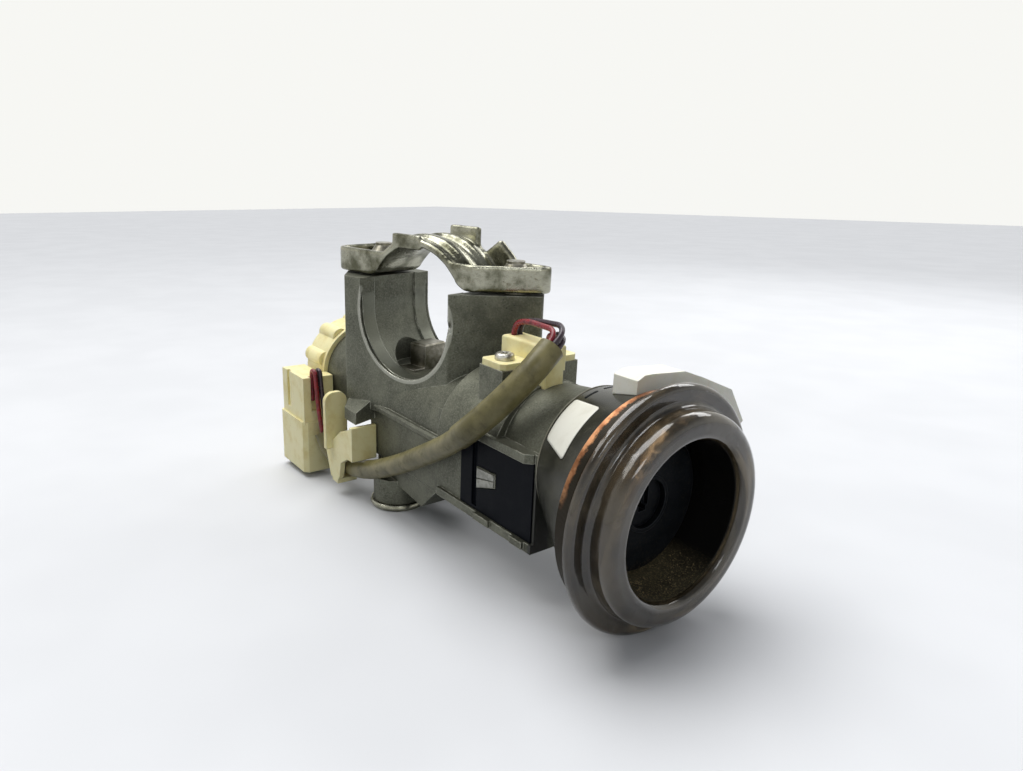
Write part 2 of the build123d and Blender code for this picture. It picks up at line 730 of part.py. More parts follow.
def light_ring_piece():
    """Clear light ring: cone backed flange in front of the coil and a thick rounded nose."""
    s0 = drum_front + coil_width
    s1 = s0 + ring_flange_width
    front = ring_nose_front
    bore = ring_bore + recess_wall + slack
    ring = turned([
        (s0, bore), (front - ring_lip, bore), (front - ring_lip, ring_bore), (front, ring_bore),
        (front, ring_nose_radius), (s1, ring_nose_radius), (s1, ring_flange_radius),
        (s1 - ring_flange_edge, ring_flange_radius), (s0, coil_radius),
    ])

    def rim(s, r):
        return [edge for edge in ring.edges().filter_by(GeomType.CIRCLE)
                if abs(edge.radius - r) < 0.01 and abs(edge.arc_center.X - s) < 0.01]

    for s, r, bend in ((front, ring_nose_radius, 3.0), (front, ring_bore, 2.0),
                       (s1, ring_flange_radius, 1.6), (s1, ring_nose_radius, 1.6)):
        ring = fillet(rim(s, r), bend)
    return ring


def antenna_connector_piece():
    """Connector shroud on the far upper side of the drum, its socket facing away."""
    outline = Polyline((-3.3, 22.0), (-3.3, 31.4), (-0.7, 32.5), (1.8, 32.5), (14.3, 31.5), (22, 28.8),
                       (35, 23.6), (42.1, 13.4), (36, 8.6), (31.0, 11.5), (22, 9.0), (15, 16.0), close=True)
    with BuildSketch(Plane.YZ) as sketch:
        add(make_face(outline))
    shroud = extrude(Pos(shroud_rear, 0, 0) * sketch.sketch, shroud_width)
    shroud -= Pos(shroud_rear + shroud_width / 2, 39.05, 11.0) * Rotation(38, 0, 0) * Box(
        shroud_width - 2.6, 5.4, 14.0)
    shroud -= drum_cone(running)
    return shroud.solids().sort_by(SortBy.VOLUME)[-1]


def antenna_terminals_piece():
    """Two pins in the antenna connector's socket."""
    return Compound(children=[
        (Pos(shroud_rear + shroud_width / 2 + side * 1.3, 37.2, 13.3) * Rotation(38, 0, 0)
         * Pos(0, 0, 0.2) * Box(0.7, 0.7, 7.6)).solids()[0]
        for side in (-1, 1)
    ])


def key_switch_piece():
    """Warning switch: screw flange on the pedestals, block above, stem down to the key plug."""
    u0 = switch_u - switch_flange_u / 2
    flange = block(switch_s - switch_flange_s / 2, switch_s + switch_flange_s / 2, u0, u0 + switch_flange_u,
                   switch_flange_z - switch_flange, switch_flange_z)
    flange = chamfer(flange.edges().filter_by(Axis.Z), 1.2)
    b0 = switch_u - block_width / 2
    upper = block(block_rear, block_front, b0, b0 + block_width, switch_flange_z - switch_flange - 0.6, block_top)
    upper = fillet(upper.faces().sort_by(Axis.Z)[-1].edges(), 0.9)
    stem = block(block_front - 5.4, block_front, b0 + 0.6, b0 + block_width - 0.6, sleeve_radius + 0.4,
                 switch_flange_z)
    body = flange + upper + stem - feeler_block(air / 2, 0, feeler_roof)
    for u in screw_places():
        body -= upright(switch_s, u, 0, 40, screw_radius + slack)
    for s in wire_holes():
        body -= block(s - 1.2, s + 1.2, switch_u - 2.1, switch_u + 2.1, block_top - 4.2, block_top + 1)
    return body


def wire_holes():
    """Where the wire pairs enter the warning switch."""
    return [block_rear + 2.2, block_front - 2.0]


def feeler_block(grow, z0, z1):
    """Space of the feeler between the warning switch and the key plug."""
    s = block_front - 2.7
    return block(s - 1.3 - grow, s + 1.3 + grow, switch_u - 1.4 - grow, switch_u + 1.4 + grow, z0, z1)


def key_switch_screws_piece():
    """Pan-head screws with a cross recess."""
    screws = []
    for u in screw_places():
        head = Pos(0, 0, switch_flange_z + screw_head / 2) * Cylinder(screw_head_radius, screw_head)
        head = fillet(head.edges().sort_by(Axis.Z)[-1], 0.9)
        head -= Pos(0, 0, switch_flange_z + screw_head) * Box(0.8, 3.4, 1.6)
        head -= Pos(0, 0, switch_flange_z + screw_head) * Box(3.4, 0.8, 1.6)
        shank = upright(0, 0, switch_flange_z - 7, switch_flange_z + 0.2, screw_radius)
        screws.append((Pos(switch_s, u, 0) * (head + shank)).solids()[0])
    return Compound(children=screws)


def key_switch_feeler_piece():
    """Feeler that a key in the plug pushes outwards."""
    return feeler_block(0, plug_radius + 0.2, feeler_top)


def key_switch_spring_piece():
    spring = coil_spring(0.95, 0.36, feeler_top, feeler_roof, 5)
    return Pos(block_front - 2.7, switch_u, 0) * spring


def interlock_cover_piece():
    """Moulded cover in the cast frame, with a bar, a groove and a window for the cast lug."""
    face = -box_face
    s0, s1 = box_rear + slack, box_front - slack
    z0, z1 = box_low + slack, box_high - slack
    cover = block(s0, s1, face, face + box_depth - 0.4, z0, z1)
    cover -= block(s0 + box_wall, s1 - box_wall, face + box_wall, face + box_depth, z0 + box_wall, z1 - box_wall)
    cover -= block(box_groove, box_groove + 2.6, face - 1, face + 0.9, z0 + 1.0, z1 + 1)
    cover -= window_block(0.25)
    return cover.solids().sort_by(SortBy.VOLUME)[-1]


def window_block(grow):
    """Trapezoid of the cast lug that shows through the cover."""
    s0, s1 = box_groove + 2.6 - grow, box_groove + 11.2 + grow
    profile = Polyline((s0, -2.6 + grow), (s1, -2.2 + grow), (s1, -6.4 - grow), (s0, -9.2 - grow), close=True)
    with BuildSketch(Plane.XZ) as sketch:
        add(make_face(profile))
    return Pos(0, -box_face - 0.2, 0) * extrude(sketch.sketch, -box_depth - 1.2)


def interlock_coil_piece():
    """Solenoid winding inside the box, round the blocking pin."""
    u0, u1 = -box_face + box_wall + air, -box_face + box_depth - 0.1
    return across(pin_s, pin_high, u0, u1, 3.0) - across(pin_s, pin_high, u0 - 1, u1 + 1, pin_radius + 0.3)


def interlock_pin_piece():
    """Pin that the solenoid pushes into the rotor's groove."""
    tip = -rotor_radius - 0.3
    return across(pin_s, pin_high, -box_face + box_wall + air, tip, pin_radius)


def rounded_path(points):
    """Straight runs joined by the largest arcs that the route allows."""
    vectors = [Vector(*p) for p in points]
    radii = []
    for a, b, c in zip(vectors, vectors[1:], vectors[2:]):
        turn = math.radians((b - a).get_angle(c - b))
        radii.append(0.45 * min((b - a).length, (c - b).length) / math.tan(turn / 2))
    return FilletPolyline(*vectors, radius=radii)


def tube_along(points, radius):
    """A round cord along a rounded route."""
    path = rounded_path(points)
    return sweep(Plane(origin=path @ 0, z_dir=path % 0) * Circle(radius), path)


def cable_sleeve_piece():
    """Soft sleeve round the wires, with a second one pushed over its upper end."""
    path = rounded_path(cable_route)
    tube = tube_along(cable_route, cable_radius)
    joint = (Vector(*cable_route[3]) + Vector(*cable_route[4])) / 2
    tube += tube_along([*cable_route[:4], tuple(joint)], cable_radius + outer_sleeve)
    for end, sign in ((0, 1), (1, -1)):
        mouth = Plane(origin=path @ end, z_dir=(path % end) * sign)
        tube -= mouth * Pos(0, 0, 2.2) * Cylinder(cable_radius - cable_wall, 5.0)
    return tube


def warning_wires_piece(side):
    """One colour of the two wire pairs that loop from the warning switch into the sleeve."""
    path = rounded_path(cable_route)
    mouth = Plane(origin=path @ 0, x_dir=(1, 0, 0), z_dir=(path % 0) * -1)
    near, far = wire_holes()
    u = switch_u + side * 1.1

    def into_mouth(back, high):
        depths = (high + 1.1 * side, -4.0)
        return [tuple(mouth.from_local_coords((1.05 * side, back, depth))) for depth in depths]

    first = [(near, u, block_top - 3.9), (near, u, block_top + 3.2), (near + 7, u - 1.2, block_top + 5.4),
             *into_mouth(-0.95, 6.2)]
    second = [(far, u, block_top - 3.9), (far, u, block_top + 2.6), (far + 2.6, u - 0.9, block_top + 3.4),
              *into_mouth(0.95, 3.0)]
    return Compound(children=[tube_along(route, wire_radius).solids()[0] for route in (first, second)])


def rear_wire_piece(side):
    """One of the two wires from the sleeve's rear mouth up into the connector block."""
    u = rear_wire_u + side * 1.0
    s = plug_block_near - 1.8
    return tube_along([
        (-39.5, -23.3 + 0.9 * side, -22.0), (-40.9, u, -12.0), (-42.8, u, -0.5), (-43.4, u, plug_block_top + 2.6),
        (s, u, plug_block_top + 2.6), (s, u, -8.0),
    ], wire_radius)


def cable_clip_piece():
    """Moulded clip on the cast arm: face plate, side with the hook round the sleeve, and rear finger."""
    plate = block(clip_front - clip_wall, clip_front, clip_side, -17.6, -20.6, -8.4)
    outline = Polyline(*[(clip_front + s, z) for s, z in clip_outline], close=True)
    with BuildSketch(Plane.XZ) as sketch:
        add(make_face(outline))
    side = Pos(0, clip_side, 0) * extrude(sketch.sketch, -clip_wall)
    side = fillet(side.edges().filter_by(Axis.Y).sort_by(Axis.Z)[:2], 0.8)
    foot = block(clip_front - 16.2, clip_front - 11.6, clip_side, -19.6, hook_z - clip_wall + 0.2, hook_z)
    finger = block(-28.2, -26.2, -29.2, -20.9, -20.4, 0.4)
    finger = fillet(finger.edges().filter_by(Axis.X).sort_by(Axis.Z)[-2:], 3.4)
    return plate + side + foot + finger


pieces = {
    "lock_body": lock_body_piece(),
    "clamp_bracket": clamp_bracket_piece(),
    "shear_bolts": shear_bolts_piece(),
    "lock_bolt": lock_bolt_piece(),
    "lock_bolt_spring": lock_bolt_spring_piece(),
    "bottom_plug": bottom_plug_piece(),
}
on_line = {
    "cam_rotor": cam_rotor_piece(),
    "cylinder_sleeve": cylinder_sleeve_piece(),
    "key_plug": key_plug_piece(),
    "tumblers": tumblers_piece(),
    "antenna_housing": antenna_housing_piece(),
    "antenna_coil": antenna_coil_piece(),
    "antenna_connector": antenna_connector_piece(),
    "antenna_terminals": antenna_terminals_piece(),
    "light_ring": light_ring_piece(),
    "interlock_cover": interlock_cover_piece(),
    "interlock_coil": interlock_coil_piece(),
    "interlock_pin": interlock_pin_piece(),
    "key_switch": key_switch_piece(),
    "key_switch_feeler": key_switch_feeler_piece(),
    "key_switch_spring": key_switch_spring_piece(),
    "key_switch_screws": key_switch_screws_piece(),
    "ignition_switch": rotary_switch_piece(),
    "switch_rotor": switch_rotor_piece(),
    "switch_contacts": switch_contacts_piece(),
    "connector_block": connector_block_piece(),
    "connector_terminals": connector_terminals_piece(),
    "cable_sleeve": cable_sleeve_piece(),
    "cable_clip": cable_clip_piece(),
    "warning_wires_red": warning_wires_piece(-1),
    "warning_wires_dark": warning_wires_piece(1),
    "rear_wire_red": rear_wire_piece(-1),
    "rear_wire_dark": rear_wire_piece(1),
}
for name, piece in pieces.items():
    save(piece, name)
for name, piece in on_line.items():
    save(on_key_line(piece), name)
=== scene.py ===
import math

import bmesh
import bpy
from mathutils import Matrix, Vector, noise


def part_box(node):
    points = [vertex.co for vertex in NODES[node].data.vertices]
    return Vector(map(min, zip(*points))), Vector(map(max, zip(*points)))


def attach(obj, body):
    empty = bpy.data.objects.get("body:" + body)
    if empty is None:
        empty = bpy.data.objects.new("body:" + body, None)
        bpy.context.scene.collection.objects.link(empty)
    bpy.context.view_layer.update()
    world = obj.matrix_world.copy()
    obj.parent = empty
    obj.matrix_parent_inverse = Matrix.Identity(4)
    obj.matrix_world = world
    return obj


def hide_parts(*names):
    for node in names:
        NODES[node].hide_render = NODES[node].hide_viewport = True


bl_info = {
    "name": "Steering Lock Dresser",
    "version": (1, 0, 0),
    "blender": (4, 5, 0),
    "location": "View3D > Sidebar > Steering Lock",
    "description": "Finishes, small pieces and a plain stage for a steering column ignition lock",
    "category": "Object",
}

MM = 0.001
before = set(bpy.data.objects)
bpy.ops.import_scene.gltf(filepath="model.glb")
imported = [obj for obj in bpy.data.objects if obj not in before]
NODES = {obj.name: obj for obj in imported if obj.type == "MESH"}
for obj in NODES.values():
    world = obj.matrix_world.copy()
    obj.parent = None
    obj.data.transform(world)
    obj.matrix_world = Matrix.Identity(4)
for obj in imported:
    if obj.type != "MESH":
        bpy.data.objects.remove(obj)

# Radii of the column seat, round the frame's origin, and of the key recess, round the key line.
SEAT = 20.5 * MM
RECESS_WALL = 20.5 * MM

# The key line runs out of the column seat's middle, turned and lowered.
KEY_TURN = math.radians(12.4)
KEY_HEIGHT = -31.8 * MM
KEY_LINE = Matrix.Translation((0, 0, KEY_HEIGHT)) @ Matrix.Rotation(-KEY_TURN, 4, "Z")

# The numbers below are millimetres on the key line, where no unit is written beside them.

# The drum between the tube's end and the light ring: station, radius, and how far its middle lies
# across and above the key line.
DRUM_REAR = (76.0, 20.2, 2.4, 4.4)
DRUM_FRONT = (96.5, 28.4, 0.0, 0.0)

# What lies on the drum. A place is a share of the way along it and degrees round it.
LABEL_PLACE = (0.385, 134)
LABEL_CORNER = 1.0
SLOT_PLACES = ((0.20, 106), (0.20, 88))
SLOT_SIZE = (4.6 * MM, 0.9 * MM)
SLOT_CORNER = 0.3
SLOT_LIFT, SLOT_THICK = 0.03, 0.05

# The drum's rear rim: station and radius of each corner, from the drum's rear.
RIM_PROFILE = ((-0.10, -1.1), (-0.16, -0.25), (-0.06, 0.02), (0.22, 0.20), (0.55, 0.26),
               (0.60, 0.10), (0.25, -0.3))

# The antenna's winding: rear, front, inner and outer radius, and where each wire's corners lie,
# in degrees round the wire.
COIL = (96.62, 99.98, 27.05, 29.3)
COIL_CORNERS = (150, 110, 70, 30)

# The cast lug's face in the box's window: station, top and bottom of its two ends, its place
# across, how far it stands out, and its dividing gap as a share of its height.
LUG_ENDS = ((50.7, -2.85, -9.0), (58.7, -2.45, -6.2))
LUG_ACROSS = -18.02
LUG_LIFT = 0.30
LUG_EDGE = 0.12
LUG_SPLIT, LUG_GAP = 0.52, 0.018

# Grit on the floor of the recess: its first station and its run, degrees to each side of the
# lowest line, and the radius of the smallest grain with what the largest has more.
GRIT_START, GRIT_RUN = 98.4, 9.5
GRIT_SPREAD = 38
GRIT_SMALLEST, GRIT_MORE = 0.06, 0.18

# Bands over which finishes, painted highlights, a painted glow and painted shades change, in
# metres: low end and high end. The first is along the column, the others are along, above or across
# the key line.
MOUTH_FRONT = (-0.0152, -0.0144)
BOX_SHADE_ALONG, BOX_SHADE_ABOVE = (0.0744, 0.0750), (0.0, 0.0045)
BOX_SHADE_ACROSS = (-0.0130, -0.0110)
GLOW_ALONG, GLOW_ABOVE, GLOW_ACROSS = (0.1005, 0.1040), (0.006, 0.020), (-0.004, 0.010)
RECESS_REAR, RECESS_SEAM, RECESS_FLOOR = (0.094, 0.095), (0.0985, 0.1040), (-0.0200, -0.0135)
FACE_FLOOR = (-0.0195, -0.0150)
UNSHADED_ALONG, UNSHADED_ABOVE, UNSHADED_ACROSS = (0.0991, 0.0999), (0.010, 0.019), (-0.006, 0.004)

# The stage, in metres: floor, its gap under the plug, and lamps with place, size, watts, colour.
FLOOR_SIZE = 3.0
FLOOR_GAP = 0.0001
LAMP_AIM = (0.02, -0.01, -0.02)
LAMPS = {
    "side_lamp": ((-0.35, -0.35, 0.60), (0.45, 0.30), 1.5, (1.0, 0.985, 0.95)),
    "back_lamp": ((0.05, 0.65, 0.45), (0.6, 0.2), 1.6, (1.0, 1.0, 1.0)),
    "front_lamp": ((0.70, -0.45, 0.55), (0.30, 0.20), 0.9, (0.93, 0.96, 1.0)),
}
SUN_FROM = (-0.40, 0.10, 1.0)
SUN_STRENGTH = 2.45
SUN_SPREAD = math.radians(48)
SENSOR_WIDTH = 36.0


def on_key_line(s, u, z):
    """A point given along, across and above the key line, in the row's own axes and metres."""
    return KEY_LINE @ (Vector((s, u, z)) * MM)


class Wire:
    """A socket that takes part in Python arithmetic; each operation adds one Math node."""

    def __init__(self, tree, socket):
        self.tree = tree
        self.socket = socket

    def _math(self, operation, *values):
        return self.tree.add("ShaderNodeMath", {"operation": operation}, *values)

    def __add__(self, other):
        return self._math("ADD", self, other)

    __radd__ = __add__

    def __mul__(self, other):
        return self._math("MULTIPLY", self, other)

    __rmul__ = __mul__

    def __sub__(self, other):
        return self._math("SUBTRACT", self, other)

    def __rsub__(self, other):
        return self._math("SUBTRACT", other, self)


class Tree:
    """A node tree, for a material or the world, built up by calls."""

    def __init__(self, node_tree):
        self.node_tree = node_tree
        self.nodes = node_tree.nodes

    def add(self, kind, settings=(), *values, out=0, **named):
        """Adds one node: its settings first, then values or links by position or by socket name."""
        node = self.nodes.new(kind)
        for key, value in dict(settings).items():
            setattr(node, key, value)
        for index, value in enumerate(values):
            self.feed(node.inputs[index], value)
        for key, value in named.items():
            self.feed(node.inputs[key.replace("_", " ")], value)
        return Wire(self, node.outputs[out])

    def feed(self, socket, value):
        """Links or sets one socket."""
        if isinstance(value, Wire):
            self.node_tree.links.new(value.socket, socket)
        elif socket.type == "RGBA" and len(value) == 3:
            socket.default_value = (*value, 1)
        else:
            socket.default_value = value

    def ease(self, value, low, high):
        """0 below low, 1 above high, smooth between."""
        return self.add("ShaderNodeMapRange", {"interpolation_type": "SMOOTHSTEP"},
                        value, low, high, 0.0, 1.0)

    def fade(self, value, low, high):
        """1 below low, 0 above high, smooth between."""
        return 1.0 - self.ease(value, low, high)

    def split(self, vector):
        """The three parts of a vector."""
        node = self.nodes.new("ShaderNodeSeparateXYZ")
        self.feed(node.inputs[0], vector)
        return [Wire(self, socket) for socket in node.outputs]

    def mix(self, mask, first, second):
        """One colour into another by a mask."""
        node = self.nodes.new("ShaderNodeMix")
        node.data_type = "RGBA"
        for index, value in ((0, mask), (6, first), (7, second)):
            self.feed(node.inputs[index], value)
        return Wire(self, node.outputs[2])

    def shown_rays(self):
        """1 for what the camera, a gloss or clear plastic sees, 0 for light that only spreads."""
        path = self.nodes.new("ShaderNodeLightPath")
        camera, gloss, clear = (Wire(self, path.outputs[f"Is {kind} Ray"])
                                for kind in ("Camera", "Glossy", "Transmission"))
        return camera + gloss + clear


class Paint(Tree):
    """One procedural material that reads Object coordinates."""

    def __init__(self, name):
        self.material = bpy.data.materials.new(name)
        self.material.use_nodes = True
        super().__init__(self.material.node_tree)
        self.shader = self.nodes["Principled BSDF"]
        self.place = self.add("ShaderNodeTexCoord", out="Object")

    def shade(self, **sockets):
        """Sets or links the shader's own sockets."""
        for key, value in sockets.items():
            self.feed(self.shader.inputs[key.replace("_", " ")], value)
        return self.material

    def grain(self, size, detail=4.0, rough=0.6, at=None):
        """Noise whose lumps are about this many millimetres across."""
        return self.add("ShaderNodeTexNoise", {}, Vector=at or self.place, Scale=1 / (size * MM),
                        Detail=detail, Roughness=rough)

    def patches(self, size, low, high, detail=4.0, rough=0.6, at=None):
        """The same noise sharpened into patches: 0 between them, 1 on them."""
        return self.ease(self.grain(size, detail, rough, at), low, high)

    def cells(self, size):
        """Distance to the nearest of scattered points, about this many millimetres apart."""
        return self.add("ShaderNodeTexVoronoi", {}, Vector=self.place, Scale=1 / (size * MM))

    def stretched(self, x, y, z):
        """Place with its axes scaled, so that noise on it is drawn out into marks."""
        return self.add("ShaderNodeMapping", {}, Vector=self.place, Scale=(x, y, z))

    def key_place(self):
        """Along, across and above the key line, in metres."""
        return self.split(self.add("ShaderNodeMapping", {}, Vector=self.place,
                                   Location=(0, 0, -KEY_HEIGHT), Rotation=(0, 0, KEY_TURN)))

    def bump(self, height, depth, under=None):
        """A Bump node that lifts the surface by up to this many millimetres."""
        named = {"Height": height, "Distance": depth * MM, "Strength": 1.0}
        if under is not None:
            named["Normal"] = under
        return self.add("ShaderNodeBump", {}, **named)

    def soft_edges(self, radius):
        """The normal with every edge rounded by this many millimetres, and a mask of the edges,
        which the finishes lighten as painted highlight and wear.
        """
        round_normal = self.add("ShaderNodeBevel", {"samples": 6}, Radius=radius * MM)
        flat_normal = self.add("ShaderNodeNewGeometry", out="Normal")
        facing = self.add("ShaderNodeVectorMath", {"operation": "DOT_PRODUCT"},
                          round_normal, flat_normal, out="Value")
        return round_normal, self.ease(1.0 - facing, 0.004, 0.12)


def cast_alloy():
    """Die cast alloy: grey green, sandy and pored, with edges lightened as painted highlight and
    wear, a machined seat with a painted highlight round its front mouth, and painted shade beside
    the box's front end.
    """
    paint = Paint("cast_alloy_skin")
    round_normal, edge = paint.soft_edges(0.5)
    x, y, z = paint.split(paint.place)
    reach = x * x + z * z
    seat = paint.fade(reach, (SEAT + 0.3 * MM) ** 2, (SEAT + 0.8 * MM) ** 2)
    # Painted highlight: a bright band round the front mouth of the column seat.
    round_mouth = paint.fade(reach, (SEAT + 1.2 * MM) ** 2, (SEAT + 1.5 * MM) ** 2)
    painted_mouth_highlight = round_mouth * paint.fade(y, *MOUTH_FRONT)
    along, across, above = paint.key_place()
    shade = paint.ease(along, *BOX_SHADE_ALONG) * paint.fade(above, *BOX_SHADE_ABOVE)
    shade = shade * paint.fade(across, *BOX_SHADE_ACROSS)
    speck = paint.grain(0.55, 5.0, 0.75)
    pores = paint.fade(paint.cells(1.5), 0.06, 0.20)
    pores = pores * paint.patches(4.0, 0.46, 0.62, 2.0) * (1.0 - seat)
    cloud = paint.patches(13.0, 0.34, 0.66, 3.0)
    skin = paint.mix(cloud, (0.078, 0.081, 0.060), (0.138, 0.141, 0.106))
    skin = paint.mix(paint.ease(speck, 0.40, 0.66) * 0.6, skin, (0.235, 0.238, 0.188))
    skin = paint.mix(seat * 0.7, skin, (0.190, 0.195, 0.155))
    grime = paint.patches(22.0, 0.50, 0.72, 5.0, 0.7)
    skin = paint.mix(grime * 0.5, skin, (0.040, 0.041, 0.030))
    skin = paint.mix(pores * 0.8, skin, (0.020, 0.020, 0.016))
    # Painted highlight and wear: the edges are lightened in patches and made smoother.
    rubbed = edge * paint.patches(3.0, 0.36, 0.60)
    skin = paint.mix(rubbed * 0.7, skin, (0.46, 0.46, 0.39))
    skin = paint.mix(painted_mouth_highlight * (0.30 + rubbed * 0.4 + speck * 0.4), skin, (0.55, 0.55, 0.48))
    skin = paint.mix(shade * 0.9, skin, (0.012, 0.012, 0.010))
    rough = 0.42 + speck * 0.20 - rubbed * 0.14 + grime * 0.08 - seat * 0.18
    height = (speck * 0.6 + paint.grain(3.2, 3.0) * 0.4) * (1.0 - seat * 0.8) - pores * 1.3
    return paint.shade(Base_Color=skin, Metallic=0.74 - shade * 0.7, Roughness=rough,
                       Normal=paint.bump(height, 0.07, round_normal))


def fresh_alloy():
    """The same alloy where it is rubbed smooth, with a fine skin."""
    paint = Paint("rubbed_alloy")
    round_normal, edge = paint.soft_edges(0.15)
    fine = paint.grain(0.4, 5.0, 0.7)
    skin = paint.mix(paint.patches(2.0, 0.4, 0.65), (0.30, 0.30, 0.27), (0.18, 0.18, 0.16))
    # Painted highlight and wear: the edges are lightened.
    skin = paint.mix(edge * 0.6, skin, (0.72, 0.72, 0.68))
    return paint.shade(Base_Color=skin, Metallic=0.9, Roughness=0.30 + fine * 0.2,
                       Normal=paint.bump(fine, 0.02, round_normal))


def plated_steel():
    """Bright zinc on pressed steel: olive tint, soft dents, drag marks and dull spots."""
    paint = Paint("plated_steel_skin")
    round_normal, edge = paint.soft_edges(0.9)
    drag = paint.grain(0.8, 5.0, 0.7, at=paint.stretched(1.0, 0.12, 1.0))
    cloud = paint.grain(8.0, 4.0)
    skin = paint.mix(paint.ease(cloud, 0.34, 0.62), (0.100, 0.099, 0.062), (0.370, 0.364, 0.285))
    skin = paint.mix(paint.ease(drag, 0.48, 0.72) * 0.4, skin, (0.125, 0.122, 0.090))
    spots = paint.patches(2.4, 0.58, 0.70, 6.0, 0.75)
    skin = paint.mix(spots * 0.6, skin, (0.110, 0.092, 0.052))
    # Painted highlight and wear: the edges are lightened.
    skin = paint.mix(edge * 0.4, skin, (0.72, 0.72, 0.66))
    rough = 0.10 + cloud * 0.14 + spots * 0.32 + drag * 0.06
    return paint.shade(Base_Color=skin, Metallic=0.95, Roughness=rough,
                       Normal=paint.bump(cloud + drag * 0.08, 0.30, round_normal))


def bare_steel(name, light, dark):
    """Machined steel with turning marks, oil and dull spots."""
    paint = Paint(name)
    round_normal, edge = paint.soft_edges(0.35)
    marks = paint.grain(0.35, 4.0, 0.7, at=paint.stretched(0.25, 0.25, 1.0))
    cloud = paint.grain(4.0, 5.0)
    skin = paint.mix(paint.ease(cloud, 0.35, 0.65), dark, light)
    skin = paint.mix(paint.ease(marks, 0.5, 0.7) * 0.4, skin, dark)
    # Painted highlight and wear: the edges are lightened.
    skin = paint.mix(edge * 0.4, skin, (0.66, 0.65, 0.62))
    return paint.shade(Base_Color=skin, Metallic=0.95, Roughness=0.24 + cloud * 0.24,
                       Normal=paint.bump(marks, 0.02, round_normal))


def black_nylon():
    """Blue black moulded box: matt, a little dust on it."""
    paint = Paint("black_nylon")
    round_normal, edge = paint.soft_edges(0.35)
    fine = paint.grain(0.45, 3.0)
    dust = paint.patches(6.0, 0.45, 0.75, 5.0)
    skin = paint.mix(dust * 0.5, (0.0040, 0.0052, 0.0080), (0.011, 0.012, 0.015))
    # Painted highlight and wear: the edges are lightened.
    skin = paint.mix(edge * 0.35, skin, (0.045, 0.050, 0.058))
    return paint.shade(Base_Color=skin, Roughness=0.42 + fine * 0.12, Specular_IOR_Level=0.05,
                       Normal=paint.bump(fine, 0.02, round_normal))


def pale_nylon(name, clean, stain, grime, stained, worn_edge_highlight):
    """Aged pale nylon: yellow stains and brown specks, paler along its edges by painted highlight
    and wear.
    """
    paint = Paint(name)
    round_normal, edge = paint.soft_edges(0.4)
    cloud = paint.patches(6.5, 0.42, 0.70, 5.0, 0.65)
    specks = paint.patches(0.9, 0.61, 0.71, 6.0, 0.8)
    skin = paint.mix(cloud * stained, clean, stain)
    skin = paint.mix(specks * 0.55, skin, grime)
    # Painted highlight and wear: the edges are lightened.
    skin = paint.mix(edge * 0.4, skin, worn_edge_highlight)
    return paint.shade(Base_Color=skin, Roughness=0.38 + cloud * 0.15, Subsurface_Weight=0.10,
                       Subsurface_Radius=(0.004, 0.003, 0.0015), Subsurface_Scale=0.4,
                       Normal=paint.bump(paint.grain(1.6), 0.03, round_normal))


def smoky_clear():
    """Clear plastic gone smoky: brown swirls, fine scratches, a rubbed haze, and a painted copper
    glow of the winding near its top.
    """
    paint = Paint("smoky_clear_ring")
    swirl = paint.grain(10.0, 3.0, at=paint.stretched(1.8, 1.0, 1.0))
    haze = paint.patches(5.0, 0.44, 0.74, 5.0, 0.7)
    tint = paint.mix(paint.ease(swirl, 0.36, 0.62), (0.048, 0.036, 0.020), (0.160, 0.126, 0.076))
    tint = paint.mix(haze * 0.18, tint, (0.220, 0.205, 0.175))
    along, across, above = paint.key_place()
    # Painted glow: the tint turns copper orange where the winding shows through near the top.
    painted_coil_glow = paint.fade(along, *GLOW_ALONG) * paint.ease(above, *GLOW_ABOVE)
    painted_coil_glow = painted_coil_glow * paint.fade(across, *GLOW_ACROSS)
    tint = paint.mix(painted_coil_glow * 0.75, tint, (0.520, 0.270, 0.120))
    fine = paint.patches(0.5, 0.58, 0.70, 6.0, 0.8)
    return paint.shade(Base_Color=tint, Transmission_Weight=0.62, IOR=1.49, Coat_Weight=0.45,
                       Coat_Roughness=0.07, Roughness=0.10 + haze * 0.12 + fine * 0.12,
                       Normal=paint.bump(swirl, 0.22))


def dark_drum():
    """Tinted drum: deep olive gloss outside, lighter along its edges by painted highlight and wear;
    the key recess inside painted near black as shade, with tan dust along its floor.
    """
    paint = Paint("dark_drum_skin")
    round_normal, edge = paint.soft_edges(0.45)
    cloud = paint.grain(8.0, 4.0)
    along, across, above = paint.key_place()
    reach = across * across + above * above
    inside = paint.fade(reach, RECESS_WALL ** 2, (RECESS_WALL + MM) ** 2)
    inside = inside * paint.ease(along, *RECESS_REAR)
    settled = inside * paint.fade(above, *RECESS_FLOOR)
    seam = paint.fade(along, *RECESS_SEAM)
    film = settled * (0.30 + paint.patches(2.6, 0.36, 0.60) * 0.30 + seam * 0.35)
    grit = settled * paint.patches(0.55, 0.53, 0.62, 6.0, 0.85)
    skin = paint.mix(paint.ease(cloud, 0.35, 0.7), (0.017, 0.017, 0.012), (0.038, 0.037, 0.026))
    skin = paint.mix(paint.patches(0.7, 0.58, 0.74, 6.0, 0.8) * 0.25, skin, (0.120, 0.112, 0.085))
    # Painted highlight and wear: the edges are lightened.
    skin = paint.mix(edge * 0.5, skin, (0.240, 0.230, 0.180))
    # Painted shade: the inside of the key recess is painted near black.
    skin = paint.mix(inside, skin, (0.0085, 0.0080, 0.0070))
    skin = paint.mix(film, skin, (0.105, 0.090, 0.050))
    skin = paint.mix(grit, skin, (0.360, 0.285, 0.150))
    return paint.shade(Base_Color=skin, Roughness=0.17 + cloud * 0.14 + settled * 0.45,
                       Specular_IOR_Level=0.24,
                       Normal=paint.bump(cloud + grit * 2.0, 0.03, round_normal))


def rim_highlight_plastic():
    """The drum's thin rear rim, painted paler than the drum as a highlight."""
    paint = Paint("drum_rim_highlight")
    skin = paint.mix(paint.patches(5.0, 0.35, 0.65), (0.135, 0.125, 0.090), (0.230, 0.215, 0.160))
    return paint.shade(Base_Color=skin, Roughness=0.25 + paint.grain(1.0) * 0.15)


